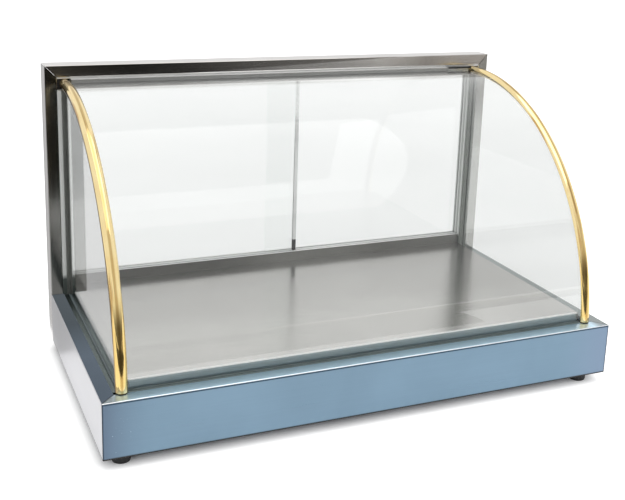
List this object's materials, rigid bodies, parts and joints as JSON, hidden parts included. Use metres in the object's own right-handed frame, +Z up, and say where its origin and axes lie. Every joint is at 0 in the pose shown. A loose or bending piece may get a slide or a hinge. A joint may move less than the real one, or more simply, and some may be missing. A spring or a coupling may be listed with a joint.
{
  "type": "countertop refrigerated display case",
  "caption": "Countertop refrigerated display case with a curved front glass, brass corner tubes, a steel base and sliding glass doors at the rear.",
  "frame": {"origin": "centre of the footprint, on the surface that the feet stand on", "axes": "+X to the right as seen from the front, +Y from the curved glass towards the doors, +Z up"},
  "size_m": [0.8, 0.438, 0.474],
  "materials": {
    "base_steel": "satin",
    "deck_steel": "satin",
    "frame_steel": "polished",
    "track_aluminium": "satin",
    "clear_glass": "clear",
    "brass_tube": "polished",
    "clear_sealant": "translucent",
    "grey_seal": "matte",
    "dark_rubber": "matte",
    "clear_plastic": "clear",
    "nylon": "matte",
    "zinc_sheet": "satin",
    "foam": "matte",
    "cold_aluminium": "satin",
    "ceramic": "matte",
    "black_plastic": "matte",
    "supply_case": "satin",
    "cable_jacket": "matte",
    "screw_steel": "polished"
  },
  "bodies": {
    "case": {"base_front_panel": "base_steel", "left_base_panel": "base_steel", "right_base_panel": "base_steel", "base_rear_panel": "base_steel", "control_plate": "base_steel", "bottom_pan": "zinc_sheet", "deck_plate": "deck_steel", "front_bearer": "zinc_sheet", "rear_bearer": "zinc_sheet", "insulation_slab": "foam", "insulation_tray": "zinc_sheet", "cold_plate": "cold_aluminium", "cold_blocks": "cold_aluminium", "thermoelectric_modules": "ceramic", "left_heat_sink": "cold_aluminium", "right_heat_sink": "cold_aluminium", "left_fan_frame": "black_plastic", "right_fan_frame": "black_plastic", "power_supply": "supply_case", "power_inlet": "black_plastic", "switch_housing": "black_plastic", "thermostat_body": "supply_case", "temperature_probe": "screw_steel", "wiring": "cable_jacket", "left_post": "frame_steel", "right_post": "frame_steel", "header": "frame_steel", "head_track": "track_aluminium", "sill_track": "track_aluminium", "left_jamb": "track_aluminium", "right_jamb": "track_aluminium", "front_glass": "clear_glass", "left_side_glass": "clear_glass", "right_side_glass": "clear_glass", "front_glass_seat": "grey_seal", "side_glass_seats": "dark_rubber", "side_seals": "dark_rubber", "head_seal": "grey_seal", "left_brass_tube": "brass_tube", "right_brass_tube": "brass_tube", "sealant_beads": "clear_sealant", "door_bumpers": "dark_rubber", "feet": "dark_rubber", "foot_screws": "screw_steel", "pan_screws": "screw_steel", "frame_screws": "screw_steel", "track_screws": "screw_steel"},
    "left_door": {"left_door_glass": "clear_glass", "left_door_shoes": "nylon", "meeting_trim": "clear_plastic", "meeting_stop": "dark_rubber"},
    "right_door": {"right_door_glass": "clear_glass", "right_door_shoes": "nylon"},
    "left_fan": {"left_fan_rotor": "black_plastic"},
    "right_fan": {"right_fan_rotor": "black_plastic"},
    "knob": {"thermostat_knob": "black_plastic"},
    "rocker": {"switch_rocker": "black_plastic"}
  },
  "joints": [
    {"name": "left_door_slide", "type": "slide", "parent": "case", "child": "left_door", "axis": [1, 0, 0], "range_m": [0, 0.344]},
    {"name": "right_door_slide", "type": "slide", "parent": "case", "child": "right_door", "axis": [-1, 0, 0], "range_m": [0, 0.344]},
    {"name": "left_fan_spin", "type": "hinge", "parent": "case", "child": "left_fan", "pos_m": [-0.18, 0, 0.045], "axis": [0, 0, 1], "continuous": true},
    {"name": "right_fan_spin", "type": "hinge", "parent": "case", "child": "right_fan", "pos_m": [0.18, 0, 0.045], "axis": [0, 0, 1], "continuous": true},
    {"name": "thermostat_turn", "type": "hinge", "parent": "case", "child": "knob", "pos_m": [0.278, 0.2, 0.055], "axis": [0, -1, 0], "range_deg": [0, 270]},
    {"name": "switch_rock", "type": "hinge", "parent": "case", "child": "rocker", "pos_m": [0.316, 0.1975, 0.055], "axis": [-1, 0, 0], "range_deg": [0, 18]}
  ]
}
